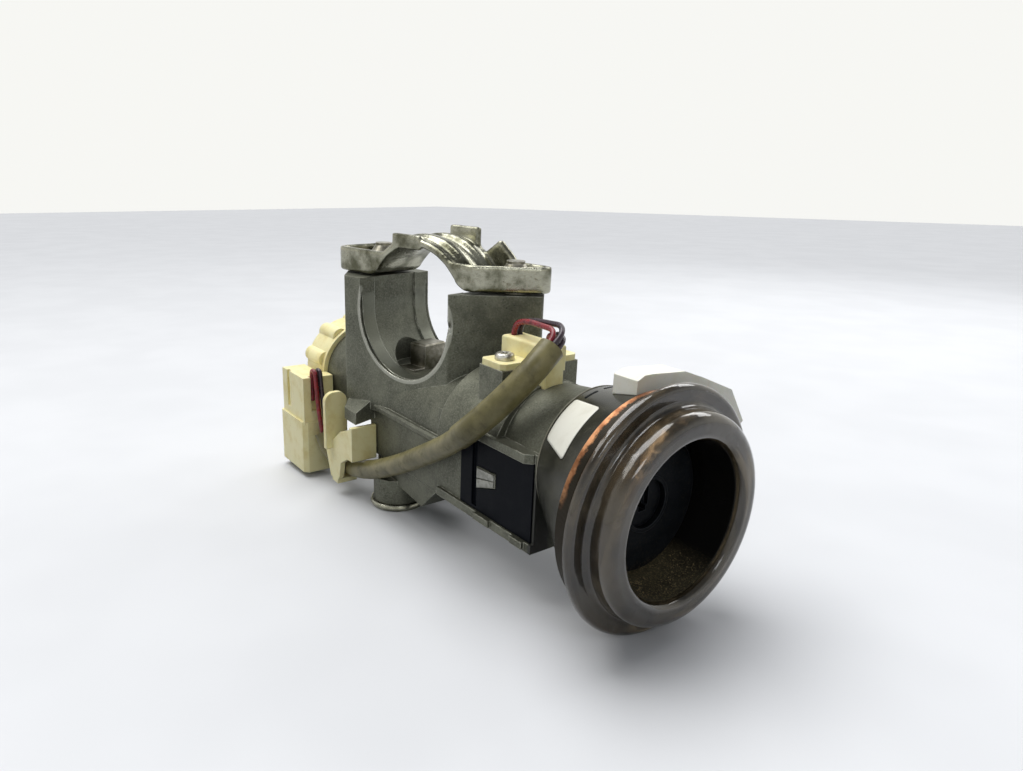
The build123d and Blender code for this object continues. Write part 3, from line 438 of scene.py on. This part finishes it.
def cylinder_face():
    """Dark blue grey face of the cylinder, paler along its raised rims by painted highlight and
    wear.
    """
    paint = Paint("cylinder_face")
    round_normal, edge = paint.soft_edges(0.35)
    cloud = paint.grain(4.0, 5.0)
    above = paint.key_place()[2]
    settled = 0.06 + 0.6 * paint.fade(above, *FACE_FLOOR)
    dust = paint.patches(0.8, 0.50, 0.64, 6.0, 0.8) * settled
    cloudy = paint.ease(cloud, 0.35, 0.7)
    skin = paint.mix(cloudy, (0.0040, 0.0050, 0.0064), (0.0085, 0.0100, 0.0120))
    # Painted highlight and wear: the raised rims are lightened.
    skin = paint.mix(edge * 0.45, skin, (0.09, 0.10, 0.11))
    skin = paint.mix(dust, skin, (0.20, 0.16, 0.09))
    return paint.shade(Base_Color=skin, Roughness=0.40 + dust * 0.4, Specular_IOR_Level=0.06,
                       Normal=paint.bump(dust + cloud * 0.3, 0.04, round_normal))


def sleeve_vinyl():
    """Soft olive brown tubing: satin, a little greasy, faint cross creases."""
    paint = Paint("sleeve_vinyl_skin")
    cloud = paint.grain(9.0, 4.0)
    smear = paint.patches(4.0, 0.48, 0.70, 6.0, 0.7)
    skin = paint.mix(paint.ease(cloud, 0.35, 0.65), (0.130, 0.114, 0.043), (0.225, 0.198, 0.088))
    skin = paint.mix(smear * 0.5, skin, (0.050, 0.045, 0.025))
    height = cloud * 0.8 + paint.grain(0.5) * 0.2
    return paint.shade(Base_Color=skin, Roughness=0.36 + smear * 0.18, Specular_IOR_Level=0.35,
                       Normal=paint.bump(height, 0.08))


def wire_skin(name, colour, dark):
    """Thin wire insulation, glossy with rubbed patches."""
    paint = Paint(name)
    cloud = paint.patches(2.2, 0.4, 0.7)
    return paint.shade(Base_Color=paint.mix(cloud, colour, dark), Roughness=0.26 + cloud * 0.2)


def wound_copper(shaded=False):
    """Enamelled copper; the antenna's is painted dark as shade except along its top."""
    paint = Paint("painted_shade_copper" if shaded else "wound_copper")
    cloud = paint.grain(4.0)
    skin = paint.mix(paint.ease(cloud, 0.35, 0.65), (0.22, 0.085, 0.035), (0.58, 0.29, 0.14))
    if shaded:
        # Painted shade: the winding is painted near black except along its top.
        along, across, above = paint.key_place()
        ragged = paint.grain(1.3, 5.0, 0.7)
        unshaded_top = paint.ease(above + ragged * 0.010, *UNSHADED_ABOVE) * paint.fade(across, *UNSHADED_ACROSS)
        unshaded_top = unshaded_top * paint.fade(along + ragged * 0.003, *UNSHADED_ALONG)
        skin = paint.mix(unshaded_top, (0.022, 0.018, 0.012), skin)
    return paint.shade(Base_Color=skin, Metallic=0.85, Roughness=0.24 + cloud * 0.2,
                       Normal=paint.bump(paint.grain(0.8), 0.03))


def soft_brass(name, colour):
    """Stamped metal with a dull film."""
    paint = Paint(name)
    cloud = paint.patches(1.5, 0.4, 0.7)
    skin = paint.mix(cloud, colour, tuple(channel * 0.6 for channel in colour))
    return paint.shade(Base_Color=skin, Metallic=0.95, Roughness=0.3 + cloud * 0.2)


def plain_label():
    """White paper label left blank, with a satin film and faint handling marks."""
    paint = Paint("blank_label")
    cloud = paint.patches(5.0, 0.45, 0.75, 5.0)
    skin = paint.mix(cloud * 0.5, (0.78, 0.77, 0.68), (0.62, 0.60, 0.50))
    return paint.shade(Base_Color=skin, Roughness=0.42 + cloud * 0.1,
                       Normal=paint.bump(paint.grain(1.2), 0.01))


def tan_grit():
    """Dry tan dust in grains."""
    paint = Paint("tan_grit")
    skin = paint.mix(paint.patches(0.7, 0.4, 0.6), (0.36, 0.28, 0.15), (0.12, 0.095, 0.055))
    return paint.shade(Base_Color=skin, Roughness=0.9)


def stage_paper():
    """Even pale floor; the light that it throws back on the lock is that of a dull table."""
    paint = Paint("stage_paper")
    fleck = paint.patches(60.0, 0.3, 0.7, 2.0)
    paint.shade(Base_Color=paint.mix(fleck, (0.66, 0.67, 0.69), (0.69, 0.70, 0.72)), Roughness=0.8)
    pale = Wire(paint, paint.shader.outputs[0])
    dull = paint.add("ShaderNodeBsdfDiffuse", {}, (0.26, 0.27, 0.29))
    surface = paint.add("ShaderNodeMixShader", {}, paint.shown_rays(), dull, pale)
    paint.feed(paint.nodes["Material Output"].inputs["Surface"], surface)
    return paint.material


def put_on(node, material):
    """Gives one CAD node its finish."""
    node.data.materials.clear()
    node.data.materials.append(material)


def place_mesh(name, shape, material, matrix=None):
    """Turns a bmesh into an object at the origin, with its place in its mesh."""
    if matrix is not None:
        bmesh.ops.transform(shape, matrix=matrix, verts=shape.verts)
    bmesh.ops.remove_doubles(shape, verts=shape.verts, dist=1e-7)
    bmesh.ops.recalc_face_normals(shape, faces=shape.faces)
    mesh = bpy.data.meshes.new(name)
    shape.to_mesh(mesh)
    shape.free()
    mesh.materials.append(material)
    for polygon in mesh.polygons:
        polygon.use_smooth = True
    piece = bpy.data.objects.new(name, mesh)
    bpy.context.scene.collection.objects.link(piece)
    return piece


class LockFinishes(bpy.types.PropertyGroup):
    """Sizes of the small added pieces."""

    label_length: bpy.props.FloatProperty(
        name="Label length", description="Length of the blank label round the drum",
        default=14.6 * MM, unit="LENGTH")
    label_width: bpy.props.FloatProperty(
        name="Label width", description="Width of the blank label along the drum",
        default=13.2 * MM, unit="LENGTH")
    coil_rows: bpy.props.IntProperty(
        name="Coil rows", description="How many turns of copper lie side by side", default=9)
    bracket_grid: bpy.props.FloatProperty(
        name="Bracket grid", description="Face size of the bracket's even skin", default=0.42 * MM,
        unit="LENGTH")
    bracket_rounding: bpy.props.IntProperty(
        name="Bracket rounding", description="How far the bracket's edges are drawn round",
        default=24)
    grit_count: bpy.props.IntProperty(
        name="Grit grains", description="How many grains of dust lie in the key recess",
        default=420)


class LockStage(bpy.types.PropertyGroup):
    """The camera's place, turn and lens."""

    camera_place: bpy.props.FloatVectorProperty(
        name="Camera place", description="Where the camera stands", size=3, subtype="TRANSLATION",
        default=(176.4 * MM, -176.1 * MM, 47.2 * MM))
    camera_azimuth: bpy.props.FloatProperty(
        name="Azimuth", description="Turn of the camera round the lock", default=math.radians(39.0),
        subtype="ANGLE")
    camera_elevation: bpy.props.FloatProperty(
        name="Elevation", description="How far the camera looks down", default=math.radians(16.2),
        subtype="ANGLE")
    camera_roll: bpy.props.FloatProperty(
        name="Roll", description="Lean of the camera", default=math.radians(2.39), subtype="ANGLE")
    camera_lens: bpy.props.FloatProperty(
        name="Lens", description="Focal length in millimetres", default=26.25)


def finish_table():
    """Which finish each CAD node takes."""
    casting, plated = cast_alloy(), plated_steel()
    cream = pale_nylon("cream_nylon", clean=(0.94, 0.86, 0.48), stain=(0.80, 0.68, 0.28),
                       grime=(0.26, 0.19, 0.08), stained=0.8, worn_edge_highlight=(0.90, 0.87, 0.64))
    white = pale_nylon("ivory_nylon", clean=(0.90, 0.89, 0.79), stain=(0.78, 0.75, 0.58),
                       grime=(0.30, 0.28, 0.22), stained=0.5, worn_edge_highlight=(0.90, 0.90, 0.84))
    bolt = bare_steel("sheared_bolt_steel", (0.40, 0.38, 0.32), (0.16, 0.15, 0.11))
    spring = bare_steel("spring_steel", (0.46, 0.46, 0.46), (0.22, 0.22, 0.23))
    screw = bare_steel("screw_steel", (0.66, 0.65, 0.60), (0.38, 0.36, 0.31))
    black, copper, face = black_nylon(), wound_copper(), cylinder_face()
    red = wire_skin("red_insulation", (0.30, 0.020, 0.030), (0.12, 0.010, 0.016))
    dark = wire_skin("dark_insulation", (0.050, 0.028, 0.040), (0.018, 0.012, 0.018))
    brass = soft_brass("terminal_brass", (0.60, 0.44, 0.18))
    return {
        "lock_body": casting, "cam_rotor": casting, "clamp_bracket": plated, "bottom_plug": plated,
        "key_switch_screws": screw, "shear_bolts": bolt, "lock_bolt": bolt, "interlock_pin": bolt,
        "lock_bolt_spring": spring, "key_switch_spring": spring, "cylinder_sleeve": face,
        "key_plug": face, "tumblers": brass, "antenna_housing": dark_drum(), "antenna_coil": copper,
        "antenna_connector": white, "antenna_terminals": brass, "light_ring": smoky_clear(),
        "interlock_cover": black, "interlock_coil": copper, "key_switch": cream,
        "key_switch_feeler": cream, "ignition_switch": cream, "switch_rotor": black,
        "switch_contacts": copper, "connector_block": cream, "connector_terminals": brass,
        "cable_sleeve": sleeve_vinyl(), "cable_clip": cream, "warning_wires_red": red,
        "rear_wire_red": red, "warning_wires_dark": dark, "rear_wire_dark": dark,
    }


class LOCK_OT_finishes(bpy.types.Operator):
    """Give every CAD node its finish"""

    bl_idname = "steering_lock.finishes"
    bl_label = "Finishes"

    def execute(self, context):
        table = finish_table()
        missing = sorted(set(NODES) - set(table))
        if missing:
            raise RuntimeError(f"no finish for {missing}")
        for name, material in table.items():
            put_on(NODES[name], material)
        return {"FINISHED"}


def drum_point(along, around):
    """A point on the drum: along from 0 at its rear to 1, around in radians from across to up."""
    s, radius, u, z = (a + (b - a) * along for a, b in zip(DRUM_REAR, DRUM_FRONT))
    return on_key_line(s, u + radius * math.cos(around), z + radius * math.sin(around))


def drum_patch(name, middle, size, corner, material, slot, lift=0.12, thick=0.10):
    """A thin patch with round corners that hugs the drum round a place on it."""
    along0, around0 = middle[0], math.radians(middle[1])
    run, widening = (front - rear for rear, front in zip(DRUM_REAR[:2], DRUM_FRONT[:2]))
    radius = DRUM_REAR[1] + widening * along0
    half_turn = size[0] / (radius * MM) / 2
    slant = math.hypot(run, widening) * MM
    half_run = size[1] / slant / 2
    edge_x, edge_y = corner / (size[0] / MM / 2), corner / (size[1] / MM / 2)
    shape = bmesh.new()
    bmesh.ops.create_grid(shape, x_segments=24, y_segments=14, size=1.0)
    for vert in shape.verts:
        x, y = vert.co.x, vert.co.y
        past_x, past_y = (abs(x) - 1 + edge_x) / edge_x, (abs(y) - 1 + edge_y) / edge_y
        over = math.hypot(past_x, past_y)
        if past_x > 0 and past_y > 0 and over > 1:
            x = math.copysign(1 - edge_x + edge_x * past_x / over, x)
            y = math.copysign(1 - edge_y + edge_y * past_y / over, y)
        along, around = along0 + y * half_run, around0 + x * half_turn
        point = drum_point(along, around)
        across = drum_point(along, around + 0.01) - point
        lengthwise = drum_point(along + 0.01, around) - point
        normal = across.cross(lengthwise).normalized()
        if normal.dot(point - drum_point(along, around + math.pi)) < 0:
            normal.negate()
        vert.co = point + normal * lift * MM
    patch = place_mesh(name, shape, material)
    sheet = patch.modifiers.new("thickness", "SOLIDIFY")
    sheet.thickness, sheet.offset = thick * MM, -1.0
    ride_on(patch, slot)


def ride_on(piece, slot, *nodes):
    """Puts a piece on the housing and hides the nodes that it stands for; its slot is not used."""
    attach(piece, "housing")
    if nodes:
        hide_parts(*nodes)


def turned_ring(name, profile, centre, material, steps=144):
    """A closed profile of (station, radius) points in millimetres, spun round the key line."""
    shape = bmesh.new()
    corners = [shape.verts.new((s * MM, 0, r * MM)) for s, r in profile]
    edges = [shape.edges.new(pair) for pair in zip(corners, corners[1:] + corners[:1])]
    bmesh.ops.spin(shape, geom=corners + edges, cent=(0, 0, 0), axis=(1, 0, 0), angle=math.tau,
                   steps=steps, use_merge=True)
    offset = Matrix.Translation((0, centre[0] * MM, centre[1] * MM))
    return place_mesh(name, shape, material, KEY_LINE @ offset)


class LOCK_OT_label(bpy.types.Operator):
    """Lay the blank label on the drum"""

    bl_idname = "steering_lock.label"
    bl_label = "Blank label"

    def execute(self, context):
        sizes = context.scene.lock_finishes
        drum_patch("blank_label", LABEL_PLACE, (sizes.label_length, sizes.label_width),
                   LABEL_CORNER, plain_label(), "white_plastic")
        return {"FINISHED"}


class LOCK_OT_drum_trim(bpy.types.Operator):
    """Fit the drum's rear rim, painted pale as a highlight, and dark patches of painted shade for
    the two slots at its top
    """

    bl_idname = "steering_lock.drum_trim"
    bl_label = "Drum trim"

    def execute(self, context):
        s, radius, u, z = DRUM_REAR
        rim = [(s + station, radius + more) for station, more in RIM_PROFILE]
        # Painted highlight: the thin rear rim is a pale ring.
        ring = turned_ring("drum_rear_rim", rim, (u, z), rim_highlight_plastic())
        ride_on(ring, "dark_drum")
        # Painted shade: the two slots are dark patches laid on the drum.
        dark = black_nylon()
        for index, place in enumerate(SLOT_PLACES):
            drum_patch(f"drum_slot_shade_{index}", place, SLOT_SIZE, SLOT_CORNER, dark, "dark_drum",
                       lift=SLOT_LIFT, thick=SLOT_THICK)
        return {"FINISHED"}


class LOCK_OT_coil(bpy.types.Operator):
    """Wind the antenna's copper turns"""

    bl_idname = "steering_lock.coil"
    bl_label = "Antenna winding"

    def execute(self, context):
        rows = context.scene.lock_finishes.coil_rows
        rear, front, inner, outer = COIL
        step = (front - rear) / rows
        wire = step / 2
        profile = [(rear, inner)]
        for row in range(rows):
            middle = rear + step * (row + 0.5)
            for angle in map(math.radians, COIL_CORNERS):
                profile.append((middle + wire * math.cos(angle),
                                outer - wire + wire * math.sin(angle)))
        profile.append((front, inner))
        coil = turned_ring("antenna_winding", profile, (0, 0), wound_copper(shaded=True), steps=120)
        ride_on(coil, "copper", "antenna_coil")
        return {"FINISHED"}


class LOCK_OT_bracket(bpy.types.Operator):
    """Draw the bracket's edges round, as the press leaves them"""

    bl_idname = "steering_lock.bracket"
    bl_label = "Pressed bracket"

    def execute(self, context):
        sizes = context.scene.lock_finishes
        shape = bmesh.new()
        shape.from_mesh(NODES["clamp_bracket"].data)
        bracket = place_mesh("pressed_bracket", shape, plated_steel())
        skin = bracket.modifiers.new("even skin", "REMESH")
        skin.mode, skin.voxel_size, skin.use_smooth_shade = "VOXEL", sizes.bracket_grid, True
        drawn = bracket.modifiers.new("drawn edges", "SMOOTH")
        drawn.factor, drawn.iterations = 0.5, sizes.bracket_rounding
        ride_on(bracket, "plated_steel", "clamp_bracket")
        return {"FINISHED"}


class LOCK_OT_lug_face(bpy.types.Operator):
    """Fit the rubbed face of the cast lug that shows through the box"""

    bl_idname = "steering_lock.lug_face"
    bl_label = "Cast lug face"

    def execute(self, context):
        shape = bmesh.new()
        for high, low in ((0.0, LUG_SPLIT - LUG_GAP), (LUG_SPLIT + LUG_GAP, 1.0)):
            (rear, rear_top, rear_bottom), (front, front_top, front_bottom) = LUG_ENDS
            rear_drop, front_drop = rear_bottom - rear_top, front_bottom - front_top
            corners = ((rear, rear_top + rear_drop * high),
                       (rear, rear_top + rear_drop * low),
                       (front, front_top + front_drop * low),
                       (front, front_top + front_drop * high))
            plate = [shape.verts.new((s * MM, LUG_ACROSS * MM, z * MM)) for s, z in corners]
            face = shape.faces.new(plate)
            raised = bmesh.ops.extrude_face_region(shape, geom=[face])["geom"]
            outer = [item for item in raised if isinstance(item, bmesh.types.BMVert)]
            bmesh.ops.translate(shape, verts=outer, vec=(0, -LUG_LIFT * MM, 0))
        bmesh.ops.recalc_face_normals(shape, faces=shape.faces)
        bmesh.ops.bevel(shape, geom=list(shape.edges), offset=LUG_EDGE * MM, segments=2,
                        profile=0.5, affect="EDGES", material=-1)
        lug = place_mesh("cast_lug_face", shape, fresh_alloy(), KEY_LINE)
        ride_on(lug, "cast_alloy")
        return {"FINISHED"}


class LOCK_OT_grit(bpy.types.Operator):
    """Scatter grit along the bottom of the key recess"""

    bl_idname = "steering_lock.grit"
    bl_label = "Recess grit"

    def execute(self, context):
        count = context.scene.lock_finishes.grit_count
        shape = bmesh.new()
        for index in range(count):
            seed = Vector((index * 1.37, index * 0.71, 3.3))
            spread, deep, size = (noise.cell(seed + Vector((9 * turn, 0, 0))) for turn in range(3))
            around = math.radians(-90 + GRIT_SPREAD * spread)
            s = GRIT_START + GRIT_RUN * (0.5 + 0.5 * deep) ** 1.5
            radius = GRIT_SMALLEST + GRIT_MORE * (0.5 + 0.5 * size) ** 3
            reach = RECESS_WALL / MM - radius * 0.5
            place = on_key_line(s, reach * math.cos(around), reach * math.sin(around))
            bmesh.ops.create_icosphere(shape, subdivisions=1, radius=radius * MM,
                                       matrix=Matrix.Translation(place))
        grit = place_mesh("recess_grit", shape, tan_grit())
        ride_on(grit, "sleeve_vinyl")
        return {"FINISHED"}


def area_lamp(name, place, size, power, colour):
    """A soft oblong lamp that looks at the lock."""
    data = bpy.data.lights.new(name, "AREA")
    data.shape = "RECTANGLE"
    data.size, data.size_y = size
    data.energy = power
    data.color = colour
    lamp = bpy.data.objects.new(name, data)
    lamp.location = place
    lamp.rotation_euler = (Vector(LAMP_AIM) - Vector(place)).to_track_quat("-Z", "Y").to_euler()
    bpy.context.scene.collection.objects.link(lamp)


def soft_sun(name, direction, strength, angle):
    """Even light from one direction, soft as a wide ceiling lamp."""
    data = bpy.data.lights.new(name, "SUN")
    data.energy, data.angle = strength, angle
    lamp = bpy.data.objects.new(name, data)
    lamp.rotation_euler = Vector(direction).to_track_quat("Z", "Y").to_euler()
    bpy.context.scene.collection.objects.link(lamp)


def pale_room(scene):
    """A room that looks white round the horizon and dimmer overhead, and throws little light."""
    scene.world = bpy.data.worlds.new("pale_room")
    scene.world.use_nodes = True
    room = Tree(scene.world.node_tree)
    up = room.split(room.add("ShaderNodeTexCoord", out="Generated"))[2]
    walls = room.mix(room.ease(up, 0.22, 0.80), (0.93, 0.93, 0.90), (0.20, 0.21, 0.22))
    shown = room.add("ShaderNodeBackground", {}, walls, 1.0)
    spread = room.add("ShaderNodeBackground", {}, (0.80, 0.82, 0.85), 0.32)
    surface = room.add("ShaderNodeMixShader", {}, room.shown_rays(), spread, shown)
    room.feed(room.nodes["World Output"].inputs["Surface"], surface)


class LOCK_OT_stage(bpy.types.Operator):
    """Set the pale floor, soft lamps and the camera"""

    bl_idname = "steering_lock.stage"
    bl_label = "Stage"

    def execute(self, context):
        sizes = context.scene.lock_stage
        # The lock stands on its bottom plug and its light ring: the floor slopes between them.
        ring_low, ring_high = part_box("light_ring")
        plug_low, plug_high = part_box("bottom_plug")
        plug_middle = (plug_low.x + plug_high.x) / 2
        run = (ring_low.x + ring_high.x) / 2 - plug_middle
        slope = math.atan2(ring_low.z - plug_low.z, run)
        shape = bmesh.new()
        bmesh.ops.create_grid(shape, x_segments=1, y_segments=1, size=FLOOR_SIZE)
        foot = Matrix.Translation((plug_middle, 0, plug_low.z - FLOOR_GAP))
        foot = foot @ Matrix.Rotation(-slope, 4, "Y")
        floor = place_mesh("stage_floor", shape, stage_paper(), foot)

        soft_sun("overhead_light", SUN_FROM, SUN_STRENGTH, SUN_SPREAD)
        for name, lamp in LAMPS.items():
            area_lamp(name, *lamp)
        pale_room(context.scene)
        context.scene.view_settings.view_transform = "Standard"

        azimuth, elevation = sizes.camera_azimuth, sizes.camera_elevation
        away = Vector((math.sin(azimuth), -math.cos(azimuth), 0)) * math.cos(elevation)
        back = away + Vector((0, 0, math.sin(elevation)))
        data = bpy.data.cameras.new("photo_camera")
        data.sensor_width = SENSOR_WIDTH
        data.lens = sizes.camera_lens
        data.clip_start, data.clip_end = 0.005, 20.0
        camera = bpy.data.objects.new("photo_camera", data)
        right = Vector((math.cos(azimuth), math.sin(azimuth), 0))
        up = back.cross(right)
        turn = Matrix((right, up, back)).transposed().to_4x4()
        turn = turn @ Matrix.Rotation(sizes.camera_roll, 4, "Z")
        camera.matrix_world = Matrix.Translation(Vector(sizes.camera_place)) @ turn
        context.scene.collection.objects.link(camera)
        context.scene.camera = camera
        return {"FINISHED"}


class LOCK_PT_panel(bpy.types.Panel):
    """Lists the lock's pieces and its stage"""

    bl_label = "Steering Lock"
    bl_idname = "LOCK_PT_panel"
    bl_space_type = "VIEW_3D"
    bl_region_type = "UI"
    bl_category = "Steering Lock"

    def draw(self, context):
        for group in (context.scene.lock_finishes, context.scene.lock_stage):
            for name in group.__annotations__:
                self.layout.prop(group, name)
        for operator in OPERATORS:
            self.layout.operator(operator.bl_idname)


OPERATORS = (LOCK_OT_finishes, LOCK_OT_bracket, LOCK_OT_label, LOCK_OT_drum_trim, LOCK_OT_coil,
             LOCK_OT_lug_face, LOCK_OT_grit, LOCK_OT_stage)
CLASSES = (LockFinishes, LockStage, *OPERATORS, LOCK_PT_panel)


def register():
    for item in CLASSES:
        bpy.utils.register_class(item)
    bpy.types.Scene.lock_finishes = bpy.props.PointerProperty(type=LockFinishes)
    bpy.types.Scene.lock_stage = bpy.props.PointerProperty(type=LockStage)


def unregister():
    del bpy.types.Scene.lock_stage
    del bpy.types.Scene.lock_finishes
    for item in reversed(CLASSES):
        bpy.utils.unregister_class(item)


def main():
    """Builds every piece in order."""
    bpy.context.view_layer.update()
    register()
    bpy.ops.steering_lock.finishes()
    bpy.ops.steering_lock.bracket()
    bpy.ops.steering_lock.label()
    bpy.ops.steering_lock.drum_trim()
    bpy.ops.steering_lock.coil()
    bpy.ops.steering_lock.lug_face()
    bpy.ops.steering_lock.grit()
    bpy.ops.steering_lock.stage()


if __name__ == "__main__":
    main()
